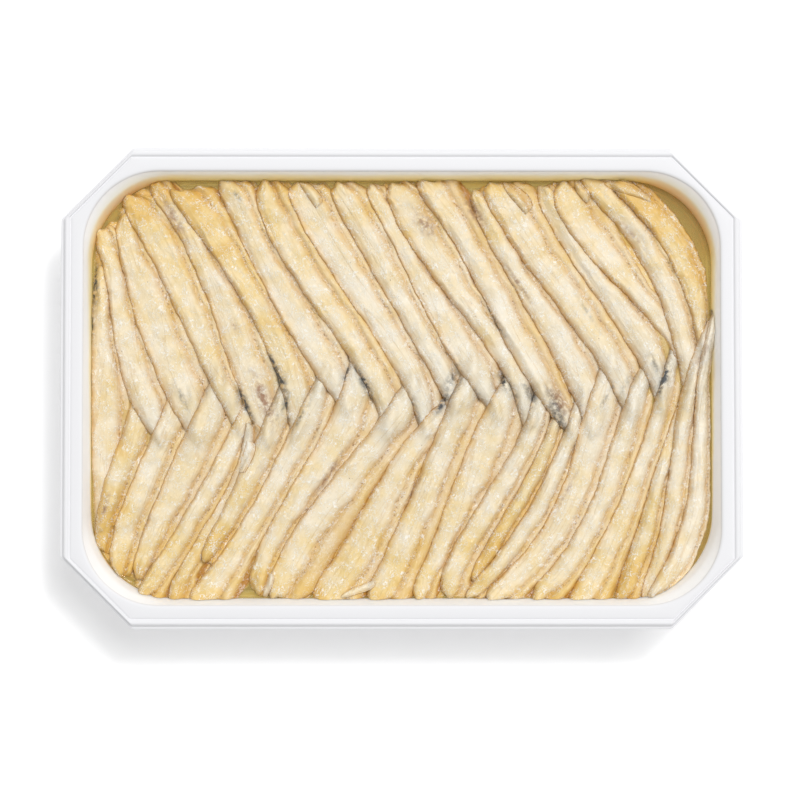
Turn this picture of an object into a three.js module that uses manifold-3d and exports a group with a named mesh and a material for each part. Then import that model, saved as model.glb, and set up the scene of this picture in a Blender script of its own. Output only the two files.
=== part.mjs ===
// A moulded tray of marinated anchovy fillets lying in oil. Two rows of fillets slant in from the
// long walls and meet along the middle like a herringbone, each fillet over the edge of the last.
// Sizes are millimetres and +Z is up. The origin is under the middle of the tray's flat bottom,
// with the tray's long side along X.

import * as THREE from 'three';
import Module from 'manifold-3d';
import { mergeVertices } from 'three/addons/utils/BufferGeometryUtils.js';

// The tray: an eight-sided rim round an opening with round corners, over walls that lean in.
const TRAY_LENGTH = 260;
const TRAY_WIDTH = 183.5;
const TRAY_HEIGHT = 40;
const RIM_CHAMFER = 27.4;
const OPENING_LENGTH = 243;
const OPENING_WIDTH = 165.5;
const OPENING_RADIUS = 29;
const WALL = 1.2;
const HEEL_RADIUS = 4;
const WALL_DRAFT = Math.tan(THREE.MathUtils.degToRad(11));
const FLANGE_UNDERSIDE = 38.2;
const LIP_DEPTH = 1.8;
const CORNER_STEPS = 6;
const HEEL_STEPS = 2;

// The rim's section from its underside over its outer edge and inwards: a hanging skirt, a bead, a
// groove and the start of the flat land. Each line gives how far in from the outline it stands
// along the straight sides, how far in along the cut corners, and how far below the top.
const RIM_SECTION = [
  [2.2, 1.4, 1.8], [1.2, 0.9, 3], [0, 0, 3], [0, 0, 1.8], [0.8, 0.6, 1.7], [1.7, 1.1, 0.3],
  [2.4, 1.5, 0], [3.1, 1.9, 0.2], [3.8, 2.4, 0.9], [4.5, 2.9, 0.4],
];
// The land's rounded inner edge: how far out from the opening, and how far below the top.
const LAND_EDGE = [[1.2, 0.4], [0.2, 0.8]];

// What fills it: oil up to a level, and the bare heap that the fillets to be seen lie on.
const CLEARANCE = 0.3;
const OIL_LEVEL = 27;
const HEAP_INSET = 9;
const HEAP_FOOT_INSET = 12.5;
const HEAP_RADIUS = 26;
const POOL_RADIUS = 52;
const HEAP_EDGE_HEIGHT = 28;
const HEAP_CROWN_HEIGHT = 28.8;
const HEAP_CROWN_INSET = 12;

// A fillet: its rings and tips, its height in the tray, and how far it runs on under the other row.
const FILLET_STATIONS = 9;
const OUTER_TAPER = 9;
const INNER_TAPER = 22;
const OUTER_TIP_SHARE = 0.55;
const INNER_TIP_SHARE = 0.45;
const INNER_OVERRUN = 7;
const RIDGE_HEIGHT = 31.2;
const OUTER_END_HEIGHT = 29.2;
const OUTER_DIP_LENGTH = 24;
const WALL_MARGIN = 1;

// A fillet's section, from its right edge to its left one: how far from the left edge, as a share
// of the plump part's width, and how far below the ridge. The first stretch is the flat shoulder.
const FILLET_SECTION = [[1.55, 3], [1, 1.5], [0.85, 0.7], [0.4, 0], [0, 1.3]];

// The fillets that show, from left to right, by their left edges, which lie over the fillet before.
// Each line gives the outer end's x and y, the edge's x a third and two thirds of the way down to
// the inner end's y, the inner end's x and y, and the width of the plump part.
const UPPER_ROW = [
  [-119, 46, -120, -120, -118.5, -48, 9.5],
  [-118.5, 57, -112.5, -108.5, -97, -17, 9],
  [-110, 63, -105.5, -96.5, -83, -17, 11],
  [-108, 70, -93.5, -80, -65.5, -13.5, 10],
  [-98.5, 77, -79.5, -68, -55.5, -17, 10],
  [-90, 73, -68.5, -52.5, -43.5, -13, 8.5],
  [-72, 78, -58.5, -44, -25.5, -5, 9],
  [-57, 78, -45, -24, -8.5, -13, 10.5],
  [-45, 77, -29, -9, 6, -12.5, 10],
  [-28.5, 76, -14, 1.5, 16, -4, 9],
  [-15, 76, 0, 14, 33, -8, 8.5],
  [-7, 77, 8, 30, 45, -9.5, 10.5],
  [4, 78, 25, 41, 62, -16, 10.5],
  [25, 74, 39.5, 56, 69.5, -13, 9.5],
  [30, 77, 47, 68, 84.5, -8, 11],
  [51, 76, 65, 83, 97, -3.5, 9.5],
  [58, 78, 71, 96, 107, -1, 9],
  [67, 79, 90, 102, 108, -1, 10.5],
  [80, 77, 98.5, 108.5, 114, 16, 10],
];
const LOWER_ROW = [
  [-118, -55, -115.5, -109.5, -104, -4, 9],
  [-112, -67, -108, -99, -90, -3, 10],
  [-104, -69.5, -95.5, -85, -73.5, 3.5, 9.5],
  [-102, -77, -86.5, -73, -61, -5.5, 9],
  [-90, -78, -79.5, -68, -61, -20, 7],
  [-77.5, -63, -66.5, -56.5, -47, 1.5, 8.5],
  [-81.5, -77.5, -61, -46.5, -33, 4, 9],
  [-59.5, -75, -48, -32, -21, 8.5, 9.5],
  [-52, -77, -39.5, -19.5, -0.5, 1, 8.5],
  [-35, -77, -18.5, -3.5, 18, -1.5, 11],
  [-14.5, -78, -0.5, 11.5, 23.5, 8, 11],
  [3, -77.5, 14.5, 24.5, 38, 3, 9.5],
  [13.5, -76, 24.5, 39.5, 50, -4, 9.5],
  [26, -70, 37.5, 48.5, 57, -12, 7],
  [24.5, -76.5, 44.5, 57.5, 67, -3, 8],
  [31.5, -77, 56.5, 67, 76.5, 9, 10],
  [49.5, -76.5, 70, 80.5, 91, 8, 10],
  [63.5, -79, 80.5, 92.5, 101.5, 11, 8],
  [81, -78, 90.5, 98.5, 108, -1, 7],
  [91, -77, 100.5, 105, 114.5, 20, 8],
  [94, -76.5, 109, 112, 117.5, 24, 9.5],
];

const wasm = await Module();
wasm.setup();

const plasticMaterial = new THREE.MeshStandardMaterial({ color: 0xf5f5f6, roughness: 0.4 });
const oilMaterial = new THREE.MeshStandardMaterial({ color: 0xb07c1e, roughness: 0.1 });
const fishMaterial = new THREE.MeshStandardMaterial({ color: 0xf0e2c4, roughness: 0.45 });

// The signs of x and y at the four corners, going round anticlockwise from the right.
const CORNERS = [[1, 1], [-1, 1], [-1, -1], [1, -1]];

// A ring at one height, with round corners. The radii are given corner by corner.
function roundRing(halfLength, halfWidth, radii, z) {
  return CORNERS.flatMap(([sideX, sideY], corner) => {
    const radius = radii[corner];
    const centre = new THREE.Vector2(sideX * (halfLength - radius), sideY * (halfWidth - radius));
    return Array.from({ length: CORNER_STEPS + 1 }, (_, step) => {
      const angle = (corner + step / CORNER_STEPS) * Math.PI / 2;
      const x = centre.x + radius * Math.cos(angle);
      const y = centre.y + radius * Math.sin(angle);
      return new THREE.Vector3(x, y, z);
    });
  });
}

// A ring round the opening, moved in from its edge.
function openingRing(inset, z) {
  const radius = OPENING_RADIUS - inset;
  const radii = [radius, radius, radius, radius];
  return roundRing(OPENING_LENGTH / 2 - inset, OPENING_WIDTH / 2 - inset, radii, z);
}

// An eight-sided ring, moved in from the rim's outline by one distance along the straight sides
// and by another along the cut corners.
function rimRing(inset, cornerInset, z) {
  const halfLength = TRAY_LENGTH / 2 - inset;
  const halfWidth = TRAY_WIDTH / 2 - inset;
  const chamfer = RIM_CHAMFER - 2 * inset + Math.SQRT2 * cornerInset;
  return CORNERS.flatMap(([sideX, sideY], corner) => {
    const onShortSide = new THREE.Vector3(sideX * halfLength, sideY * (halfWidth - chamfer), z);
    const onLongSide = new THREE.Vector3(sideX * (halfLength - chamfer), sideY * halfWidth, z);
    const ends = corner % 2 === 0 ? [onShortSide, onLongSide] : [onLongSide, onShortSide];
    return Array.from({ length: CORNER_STEPS + 1 }, (_, step) =>
      ends[0].clone().lerp(ends[1], step / CORNER_STEPS));
  });
}

// How far in from the opening's edge the inner face of the wall stands at a height.
function wallInset(z) {
  return (TRAY_HEIGHT - z) * WALL_DRAFT;
}

// The round foot of a wall, from the upright part to the flat part, as inset and height pairs.
function heelProfile(inset, floor, radius) {
  return Array.from({ length: HEEL_STEPS + 1 }, (_, step) => {
    const angle = step / HEEL_STEPS * Math.PI / 2;
    return [inset + radius * (1 - Math.cos(angle)), floor + radius * (1 - Math.sin(angle))];
  });
}

// Skins rings of equal size into one closed body. A looped list closes on itself. Any other is
// closed by its first and last rings, as fans from the point that each ring starts at.
function loft(rings, looped = false) {
  const size = rings[0].length;
  const faces = [];
  const spans = looped ? rings.length : rings.length - 1;
  for (let span = 0; span < spans; span += 1) {
    const here = span * size;
    const next = ((span + 1) % rings.length) * size;
    for (let i = 0; i < size; i += 1) {
      const j = (i + 1) % size;
      faces.push(here + i, here + j, next + j, here + i, next + j, next + i);
    }
  }
  if (!looped) {
    const last = (rings.length - 1) * size;
    for (let i = 1; i < size - 1; i += 1) {
      faces.push(0, i + 1, i, last, last + i, last + i + 1);
    }
  }
  const geometry = new THREE.BufferGeometry();
  geometry.setAttribute('position', new THREE.Float32BufferAttribute(
    rings.flat().flatMap((point) => point.toArray()), 3));
  geometry.setIndex(faces);
  geometry.computeVertexNormals();
  return geometry;
}

// The tray, from the middle of its underside out and up to the rim, over it and down inside.
function trayGeometry() {
  const outerHeel = heelProfile(wallInset(0) - WALL, 0, HEEL_RADIUS + WALL).reverse();
  const innerHeel = heelProfile(wallInset(WALL), WALL, HEEL_RADIUS);
  return loft([
    ...outerHeel.map(([inset, z]) => openingRing(inset, z)),
    openingRing(wallInset(FLANGE_UNDERSIDE) - WALL, FLANGE_UNDERSIDE),
    ...RIM_SECTION.map(([inset, cornerInset, depth]) => (
      rimRing(inset, cornerInset, TRAY_HEIGHT - depth))),
    ...LAND_EDGE.map(([outset, depth]) => openingRing(-outset, TRAY_HEIGHT - depth)),
    openingRing(wallInset(TRAY_HEIGHT - LIP_DEPTH), TRAY_HEIGHT - LIP_DEPTH),
    ...innerHeel.map(([inset, z]) => openingRing(inset, z)),
  ]);
}

// A ring round the bare heap, moved out from its side, which leans out like the tray's wall. One
// corner is rounder than the others and leaves a pool of oil.
function heapRing(outset, z) {
  const inset = THREE.MathUtils.mapLinear(z, 0, HEAP_EDGE_HEIGHT, HEAP_FOOT_INSET, HEAP_INSET);
  const halfLength = OPENING_LENGTH / 2 - inset + outset;
  const halfWidth = OPENING_WIDTH / 2 - inset + outset;
  const radius = HEAP_RADIUS + outset;
  return roundRing(halfLength, halfWidth, [POOL_RADIUS + outset, radius, radius, radius], z);
}

// The oil between the tray and the bare heap, up to its level.
function oilGeometry() {
  const foot = heelProfile(wallInset(WALL) + CLEARANCE, WALL + CLEARANCE, HEEL_RADIUS - CLEARANCE);
  const footHeight = foot.at(-1)[1];
  return loft([
    openingRing(wallInset(OIL_LEVEL) + CLEARANCE, OIL_LEVEL),
    heapRing(CLEARANCE, OIL_LEVEL),
    heapRing(CLEARANCE, footHeight),
    ...foot.slice(0, -1).reverse().map(([inset, z]) => openingRing(inset, z)),
  ], true);
}

function bareHeapGeometry() {
  return loft([
    heapRing(0, WALL + CLEARANCE),
    heapRing(0, HEAP_EDGE_HEIGHT),
    heapRing(-HEAP_CROWN_INSET, HEAP_CROWN_HEIGHT),
  ]);
}

// Keeps a point on the tray's inside, a margin clear of the wall.
function keepInside(x, y) {
  const inset = wallInset(OIL_LEVEL) + WALL_MARGIN;
  const radius = OPENING_RADIUS - inset;
  const centreX = OPENING_LENGTH / 2 - inset - radius;
  const centreY = OPENING_WIDTH / 2 - inset - radius;
  const overX = Math.max(Math.abs(x) - centreX, 0);
  const overY = Math.max(Math.abs(y) - centreY, 0);
  const pull = Math.min(1, radius / Math.max(Math.hypot(overX, overY), radius));
  return [
    Math.sign(x) * (Math.min(Math.abs(x), centreX) + overX * pull),
    Math.sign(y) * (Math.min(Math.abs(y), centreY) + overY * pull),
  ];
}

// How wide a fillet is near a tip, as a share of its full width.
function tipShare(distance, taper, tip) {
  const along = Math.min(distance / taper, 1);
  return tip + (1 - tip) * Math.sin(along * Math.PI / 2);
}

// The curve of a fillet's left edge, through its ends and the two places between them.
function leftEdge([outerX, outerY, firstX, secondX, innerX, innerY]) {
  const pullOuter = (-5 * outerX + 18 * firstX - 9 * secondX + 2 * innerX) / 6;
  const pullInner = (2 * outerX - 9 * firstX + 18 * secondX - 5 * innerX) / 6;
  return new THREE.CubicBezierCurve(
    new THREE.Vector2(outerX, outerY),
    new THREE.Vector2(pullOuter, (2 * outerY + innerY) / 3),
    new THREE.Vector2(pullInner, (outerY + 2 * innerY) / 3),
    new THREE.Vector2(innerX, innerY),
  );
}

// One fillet, swept from its end with the larger y to its other end. Its outer end dips to the oil,
// its inner end runs straight on under the other row, and its right side slopes down to the next.
function filletGeometry(fillet) {
  const width = fillet.at(-1);
  const curve = leftEdge(fillet);
  const edgeLength = curve.getLength();
  const length = edgeLength + INNER_OVERRUN;
  const southward = fillet[1] > fillet[5];
  const rings = Array.from({ length: FILLET_STATIONS }, (_, station) => {
    const share = station / (FILLET_STATIONS - 1);
    const outerDistance = (southward ? share : 1 - share) * length;
    const along = Math.min(outerDistance / edgeLength, 1);
    const tangent = curve.getTangentAt(along);
    const point = curve.getPointAt(along)
      .addScaledVector(tangent, Math.max(outerDistance - edgeLength, 0));
    const rightward = new THREE.Vector2(-tangent.y, tangent.x).multiplyScalar(southward ? 1 : -1);
    const outerShare = tipShare(outerDistance, OUTER_TAPER, OUTER_TIP_SHARE);
    const innerShare = tipShare(length - outerDistance, INNER_TAPER, INNER_TIP_SHARE);
    const dip = 1 - Math.min(outerDistance / OUTER_DIP_LENGTH, 1);
    const ridge = RIDGE_HEIGHT - (RIDGE_HEIGHT - OUTER_END_HEIGHT) * dip ** 2;
    const top = FILLET_SECTION.map(([across, fall]) => {
      const reach = width * (0.5 + (across - 0.5) * outerShare) * innerShare;
      const [x, y] = keepInside(...point.clone().addScaledVector(rightward, reach));
      return new THREE.Vector3(x, y, Math.max(ridge - fall, OIL_LEVEL + 2 * CLEARANCE));
    });
    const bottom = [top.at(-1), top[0]].map(({ x, y }) => (
      new THREE.Vector3(x, y, OIL_LEVEL + CLEARANCE)));
    return [...bottom, ...top];
  });
  return loft(rings);
}

function solid(geometry) {
  const bare = geometry.clone();
  bare.deleteAttribute('normal');
  const merged = mergeVertices(bare);
  return new wasm.Manifold(new wasm.Mesh({
    numProp: 3,
    vertProperties: Float32Array.from(merged.attributes.position.array),
    triVerts: Uint32Array.from(merged.index.array),
  }));
}

function geometryOf(manifold) {
  const mesh = manifold.getMesh();
  const geometry = new THREE.BufferGeometry();
  geometry.setAttribute('position', new THREE.BufferAttribute(mesh.vertProperties, 3));
  geometry.setIndex(new THREE.BufferAttribute(mesh.triVerts, 1));
  geometry.computeVertexNormals();
  return geometry;
}

// The heap with the fillets fused on. Only its largest body is kept, which fills any hollow
// that the fillets close off and drops any loose scrap.
function filletHeapGeometry() {
  const fillets = [...UPPER_ROW, ...LOWER_ROW].map(filletGeometry);
  const fused = [bareHeapGeometry(), ...fillets]
    .map(solid)
    .reduce((whole, piece) => whole.add(piece));
  const bodies = fused.decompose();
  bodies.sort((first, second) => second.volume() - first.volume());
  return geometryOf(bodies[0]);
}

function subPart(name, geometry, material) {
  const mesh = new THREE.Mesh(geometry, material);
  mesh.name = name;
  return mesh;
}

const anchovyTray = new THREE.Group();
anchovyTray.add(
  subPart('tray', trayGeometry(), plasticMaterial),
  subPart('marinade_oil', oilGeometry(), oilMaterial),
  subPart('anchovy_fillets', filletHeapGeometry(), fishMaterial),
);

export default anchovyTray;
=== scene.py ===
"""A moulded tray of marinated anchovy fillets in oil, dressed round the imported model. Metres, +Z up."""

import math

import bmesh
import bpy
import numpy as np
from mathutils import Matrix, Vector


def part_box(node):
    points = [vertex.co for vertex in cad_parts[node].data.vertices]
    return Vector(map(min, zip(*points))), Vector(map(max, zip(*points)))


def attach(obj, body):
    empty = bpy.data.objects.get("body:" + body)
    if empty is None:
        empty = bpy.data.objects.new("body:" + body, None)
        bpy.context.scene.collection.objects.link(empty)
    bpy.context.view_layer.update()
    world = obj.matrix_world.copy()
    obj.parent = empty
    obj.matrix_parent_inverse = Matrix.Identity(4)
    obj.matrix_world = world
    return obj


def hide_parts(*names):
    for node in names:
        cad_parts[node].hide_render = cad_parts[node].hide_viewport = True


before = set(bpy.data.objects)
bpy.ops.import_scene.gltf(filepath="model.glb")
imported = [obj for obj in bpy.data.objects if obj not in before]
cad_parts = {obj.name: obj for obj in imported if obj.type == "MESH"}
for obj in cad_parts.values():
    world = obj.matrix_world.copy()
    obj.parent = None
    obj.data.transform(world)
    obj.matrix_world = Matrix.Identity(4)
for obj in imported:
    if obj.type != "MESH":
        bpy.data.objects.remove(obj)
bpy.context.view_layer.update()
MM = 0.001

# The tray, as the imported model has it. Only its inner corners widen on the way down: CORNER_SPREAD is
# how much their radius grows for each millimetre that the wall leans in.
TRAY_LOW, TRAY_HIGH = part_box("tray")
TRAY_LENGTH = TRAY_HIGH.x - TRAY_LOW.x
TRAY_WIDTH = TRAY_HIGH.y - TRAY_LOW.y
RIM_TOP = TRAY_HIGH.z
RIM_CHAMFER = 27.4 * MM
RIM_VERTEX_RADIUS = 2.4 * MM
OPENING_LENGTH = 243 * MM
OPENING_WIDTH = 165.5 * MM
OPENING_RADIUS = 29 * MM
WALL = 1.2 * MM
HEEL_RADIUS = 4 * MM
WALL_DRAFT = math.tan(math.radians(11))
CORNER_SPREAD = 5
CORNER_SPREAD_END = 4 * MM
FLANGE_UNDERSIDE = 38.2 * MM
ARC_STEPS = 5
CHAMFER_STEPS = 8
STRAIGHT_STEPS = 12

# What fills it. The heap is let down to one height, a little lower along the wall.
OIL_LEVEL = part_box("marinade_oil")[1].z
OIL_DEPTH = 6 * MM
OIL_BAND = 25 * MM
HEAP_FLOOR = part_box("anchovy_fillets")[0].z
BED_HEIGHT = 25.2 * MM
SETTLED_HEIGHT = 29.6 * MM
SETTLED_EDGE_DROP = 1.4 * MM
SETTLED_EDGE_WIDTH = 16 * MM
SETTLING_WIDTH = 8 * MM
WALL_MARGIN = 0.15 * MM

# A fillet's mesh: how many faces long and wide its top is, and how many its hidden underside is wide.
FINE_BLANK = (190, 36)
COARSE_BLANK = (100, 18)
UNDERSIDE_LANES = 4

# A fillet's outline. A number without MM is a share of its width, of its length for SHORT_TAPER, or of
# the way across it for a slant. A pair is a least and a most, as limits or to draw at random between.
OUTER_TAPER = 9 * MM
INNER_TAPER = 22 * MM
SHORT_TAPER = 0.4
OUTER_TIP = (0.2, 0.3)
INNER_TIP = 0.45
SLENDER_END = 30 * MM
OUTER_SLENDER = (0.65, 0.9)
INNER_SLENDER = 0.7
PLUMP_LIMITS = (0.85, 1.35)
BAND_LIMITS = (0.8, 2)
OUTER_REACH = 0.37
LEAST_REACH = 0.6
LAST_REACH = 1.15
OUTER_OVERRUN = 2.4 * MM
INNER_OVERRUN = 7 * MM
REACH_UNDER_NEXT = 3.5 * MM
SLANT = (0.45, 0.95)
MOST_SLANT = 1.1
TORN_END = 7 * MM

# Its section. The thin part beside the plump lobe begins at a share of the lobe's width, and its height
# is a share of the lobe's.
THICKNESS = (4.3 * MM, 5.4 * MM)
UNDER_THICKNESS = 2.2 * MM
LOBE_POWERS = (2, 0.72)
THIN_SIDE_FROM = 0.92
THIN_SIDE_TO = 1.25
THIN_SIDE_HEIGHT = (0.28, 0.55)
CREASED = 0.85
NOSE = 2.6 * MM
BLUNT_END = 12 * MM
SKIN = 0.3 * MM
HUGGING_EDGE = 1.2 * MM
MOST_PRESSED = 0.25 * MM

# Waves in it, by their two lengths and their size, and relief on it, by its rows, lanes and size.
SWELL = ((37 * MM, 17 * MM), 0.06)
NOTCHES = ((29 * MM, 12 * MM), 0.03)
NICKS = ((5.3 * MM, 3.1 * MM), 0.012)
TEAR = ((9 * MM, 4.7 * MM), 0.9 * MM)
THICKNESS_WAVES = ((23 * MM, 9.1 * MM), 0.05)
THIN_SIDE_WAVES = ((53 * MM, 24 * MM), 0.1)
CREASE_WAVES = ((41 * MM, 19 * MM), 0.9)
RELIEF = ((14, 3, 0.035), (3.5, 1.5, 0.02))
MOST_RELIEF = 0.2

# How far its looks reach in from an end or an edge.
WARM_END = 22 * MM
SEAM_END = 16 * MM
SKIN_START = 7 * MM
SKIN_FADE = 9 * MM
SKIN_WIDTH = 1.6 * MM
OIL_AND_SHADE_WIDTH = 1.3 * MM

# The fillets that show, from left to right, in millimetres, read from a grid laid over the
# picture. Each line gives the outer end's x and y, the left edge's x a third and two thirds of the
# way in, the inner end's x and y, the plump part's width, then three shares from 0 to 1: how warm
# the flesh is, how golden and wide the thin part beside it, and how much dark skin edges its inner end.
UPPER_ROW = [
    (-119, 46, -120, -120, -118.5, -48, 9.5, 0.35, 0.3, 0),
    (-119.5, 59.5, -112.5, -108.5, -97, -17, 9, 0.35, 0.5, 0.2),
    (-110.5, 65, -105.5, -96.5, -83, -17, 11, 0.4, 0.5, 0.3),
    (-109.5, 72.5, -93.5, -80, -65.5, -13.5, 10, 0.5, 0.45, 0.3),
    (-98.5, 77, -79.5, -68, -55.5, -17, 10, 0.45, 0.4, 0.6),
    (-90, 74, -68.5, -52.5, -43.5, -13, 8.5, 0.6, 0.5, 0.9),
    (-72, 78, -58.5, -44, -25.5, -5, 9, 0.35, 0.5, 0.4),
    (-57, 78, -45, -24, -8.5, -13, 10.5, 0.45, 0.8, 0.2),
    (-45, 77, -29, -9, 6, -12.5, 10, 0.3, 0.5, 1),
    (-28.5, 76, -14, 1.5, 16, -4, 9, 0.3, 0.45, 0.3),
    (-15, 76, 0, 14, 33, -8, 8.5, 0.25, 0.5, 0.9),
    (-7, 77, 8, 30, 45, -9.5, 10.5, 0.35, 0.35, 0.8),
    (4, 78, 25, 41, 62, -16, 10.5, 0.25, 0.85, 0.5),
    (25, 74, 39.5, 56, 69.5, -13, 9.5, 0.3, 0.6, 0.9),
    (30, 77, 47, 68, 84.5, -8, 11, 0.35, 0.75, 0.6),
    (51, 76, 65, 83, 97, -3.5, 9.5, 0.3, 0.45, 0.8),
    (58, 78, 71, 96, 107, -1, 9, 0.35, 0.65, 0.9),
    (67, 79, 90, 102, 108, -1, 10.5, 0.4, 0.7, 0.3),
    (80, 77, 98.5, 108.5, 114, 16, 10, 0.7, 0.6, 0.1),
]
LOWER_ROW = [
    (-118, -60, -115.5, -109.5, -104, -4, 9, 0.6, 0.5, 0.1),
    (-112.5, -69, -108, -99, -90, -3, 10, 0.45, 0.6, 0.2),
    (-104, -69.5, -95.5, -85, -73.5, 3.5, 9.5, 0.4, 0.7, 0.6),
    (-102, -77, -86.5, -73, -61, -5.5, 9, 0.45, 0.85, 0.1),
    (-90, -78, -79.5, -68, -61, -20, 7, 0.5, 0.7, 0.3),
    (-77.5, -63, -66.5, -56.5, -47, 1.5, 8.5, 0.5, 0.5, 0.9),
    (-81.5, -77.5, -61, -46.5, -33, 4, 9, 0.4, 0.7, 0.7),
    (-59.5, -75, -48, -32, -21, 8.5, 9.5, 0.4, 0.6, 0.6),
    (-52, -77, -39.5, -19.5, -0.5, 1, 8.5, 0.35, 0.8, 0.6),
    (-35, -77, -18.5, -3.5, 18, -1.5, 11, 0.4, 0.5, 0.5),
    (-14.5, -78, -0.5, 11.5, 23.5, 8, 11, 0.4, 0.8, 1),
    (3, -77.5, 14.5, 24.5, 38, 3, 9.5, 0.4, 0.6, 0.5),
    (13.5, -76, 24.5, 39.5, 50, -4, 9.5, 0.35, 0.6, 0.7),
    (26, -70, 37.5, 48.5, 57, -12, 7, 0.7, 0.6, 0.3),
    (24.5, -76.5, 44.5, 57.5, 67, -3, 8, 0.35, 0.6, 0.5),
    (31.5, -77, 56.5, 67, 76.5, 9, 10, 0.3, 0.55, 0.6),
    (49.5, -76.5, 70, 80.5, 91, 8, 10, 0.35, 0.8, 0.5),
    (63.5, -79, 80.5, 92.5, 101.5, 11, 8, 0.4, 0.75, 0.9),
    (81, -78, 90.5, 98.5, 108, -1, 7, 0.5, 0.6, 0.3),
    (91, -77, 100.5, 105, 114.5, 20, 8, 0.3, 0.5, 0.2),
    (94, -76.5, 109, 112, 117.5, 24, 9, 0.15, 0.6, 0),
]
# Small torn pieces that lie on top, in the same form, then the thickness.
SCRAPS = [
    (-41, 79, -38, -35.5, -33, 69.5, 4.5, 0.5, 0.3, 0, 1.6),
    (37.5, 79.5, 40, 43.5, 47.5, 67, 5.5, 1, 0.9, 0.3, 1.5),
    (65, 80, 66, 68, 71, 71.5, 4.2, 0.7, 0.3, 0, 2.6),
    (75.5, 78.5, 81, 87.5, 95.5, 72, 4.6, 0.8, 0.6, 0, 1.1),
    (-63.5, -31, -62, -60.5, -59.5, -20, 4.4, 0, 0.2, 0, 0.9),
    (-54, -79, -52.8, -51.8, -51, -70.5, 3, 0, 0.2, 0, 1),
    (-23.5, -78.5, -20, -15, -11, -73, 3, 0.2, 0.2, 0, 1.2),
]
# Marks on the flesh, read in the same way: the middle's x and y, half the length, half the
# width (all in millimetres), the direction in degrees and the strength.
SKIN_MARKS = [
    (-46.5, 3.5, 5, 1.5, -65, 1.3), (-49.5, 10, 4, 0.9, -68, 1), (-45.5, -7, 5, 0.9, 60, 1),
    (-60.5, -5, 6, 1.3, -65, 1.1), (-84, -4, 5, 1.2, -65, 0.9), (-14.5, 2, 7, 1.4, -62, 1.3),
    (-22, 5, 4, 0.8, 60, 0.7), (19, 4, 5, 1.6, 62, 1.2), (16.3, -5, 6, 1.2, 58, 1.3),
    (39.5, 2, 5, 1.5, -60, 1.2), (48.5, -1, 4.5, 1.3, -62, 1.2), (59, -7.5, 7, 1.7, -66, 1.4),
    (101, 4, 6, 1.5, 64, 1.2), (97, 9, 5, 1.2, -66, 1), (78, -4, 5, 1, 62, 0.8), (86, 2, 4, 1, 62, 0.7),
    (-117.6, 40, 8, 1.2, 90, 1.5), (-119, 25, 6, 0.9, 90, 1), (-63, 74, 3, 1, -60, 1),
    (36, 26, 9, 0.7, -60, 0.7), (71, 30, 9, 0.7, -58, 0.6), (-38, -10, 6, 0.8, 60, 0.7),
]
BLOOD_MARKS = [
    (-52.8, -4, 9, 2.3, -68, 1.2), (60, -5, 6, 2.4, -66, 1.1), (9, 63.5, 6, 2.8, -52, 0.9),
    (-87.5, 65.5, 9, 2, -60, 0.8), (28, 68, 7, 2, -60, 1), (-28, -33, 12, 0.9, 58, 0.9),
    (45, 40, 8, 1, -55, 0.8), (-113, -45, 6, 0.8, 72, 0.9), (5, -38, 8, 0.7, 60, 0.7),
    (88, 60, 7, 0.8, -50, 0.6), (-64, 24, 3, 1.2, -60, 0.7), (-5, 30, 7, 0.6, -58, 0.5),
    (63, -40, 9, 0.7, 62, 0.6), (115, 13, 6, 1.2, 60, 0.6), (-97, -50, 7, 0.6, 68, 0.6),
]
# How the two rows were laid into each other: the row that each next fillet comes from.
LAYING_ORDER = "ul" * 5 + "l" + "ul" * 7 + "l" + "ul" * 4 + "uulull"
# Which fillets lie in each piece, so that no mesh grows too large.
UPPER_SPLIT = 10
LOWER_SPLIT = 11


def linear_colour(hex_code):
    """An sRGB hex colour as the linear RGBA that shaders take."""
    values = [int(hex_code[i:i + 2], 16) / 255 for i in (1, 3, 5)]
    linear = [v / 12.92 if v <= 0.04045 else ((v + 0.055) / 1.055) ** 2.4 for v in values]
    return (*linear, 1.0)


def add_node(tree, kind, inputs=None, stops=None, **settings):
    """Adds a node with its settings. An input is a value or the socket that it is linked to."""
    node = tree.nodes.new(kind)
    for name, value in settings.items():
        setattr(node, name, value)
    for key, value in (inputs or {}).items():
        if isinstance(value, bpy.types.NodeSocket):
            tree.links.new(value, node.inputs[key])
        else:
            node.inputs[key].default_value = value
    if stops:
        ramp = node.color_ramp
        while len(ramp.elements) < len(stops):
            ramp.elements.new(0.5)
        for element, (position, colour) in zip(ramp.elements, stops):
            element.position = position
            element.color = linear_colour(colour)
    return node


def new_material(name, finish):
    """A material with its Principled shader, whose own sockets are set to a finish."""
    material = bpy.data.materials.new(name)
    material.use_nodes = True
    shader = material.node_tree.nodes["Principled BSDF"]
    for socket, value in finish.items():
        shader.inputs[socket].default_value = value
    return material, material.node_tree, shader


def add_object(name, data):
    """Puts a mesh, a light or a camera in the scene."""
    added = bpy.data.objects.new(name, data)
    bpy.context.scene.collection.objects.link(added)
    return added


def new_piece(name, mesh, material, replaced=()):
    """Puts a finished mesh in the scene as a piece that rides on the part's one body."""
    piece = add_object(name, mesh)
    mesh.materials.append(material)
    for polygon in mesh.polygons:
        polygon.use_smooth = True
    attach(piece, "root")
    if replaced:
        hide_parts(*replaced)


def finished_mesh(shape, name):
    """Turns a built shape into a mesh."""
    mesh = bpy.data.meshes.new(name)
    shape.to_mesh(mesh)
    shape.free()
    return mesh


def vertex_places(mesh):
    """The places of a mesh's vertices, one in each row."""
    places = np.zeros(len(mesh.vertices) * 3)
    mesh.vertices.foreach_get("co", places)
    return places.reshape(-1, 3)


def add_values(mesh, name, values):
    """Stores one value for each vertex, for the materials to read."""
    attribute = mesh.attributes.new(name, "FLOAT", "POINT")
    attribute.data.foreach_set("value", np.asarray(values, np.float32))


# Outlines and bodies that are skinned over them.
CORNERS = ((1, 1), (-1, 1), (-1, -1), (1, -1))
CORNER_POINTS = 2 * ARC_STEPS + CHAMFER_STEPS


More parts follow.
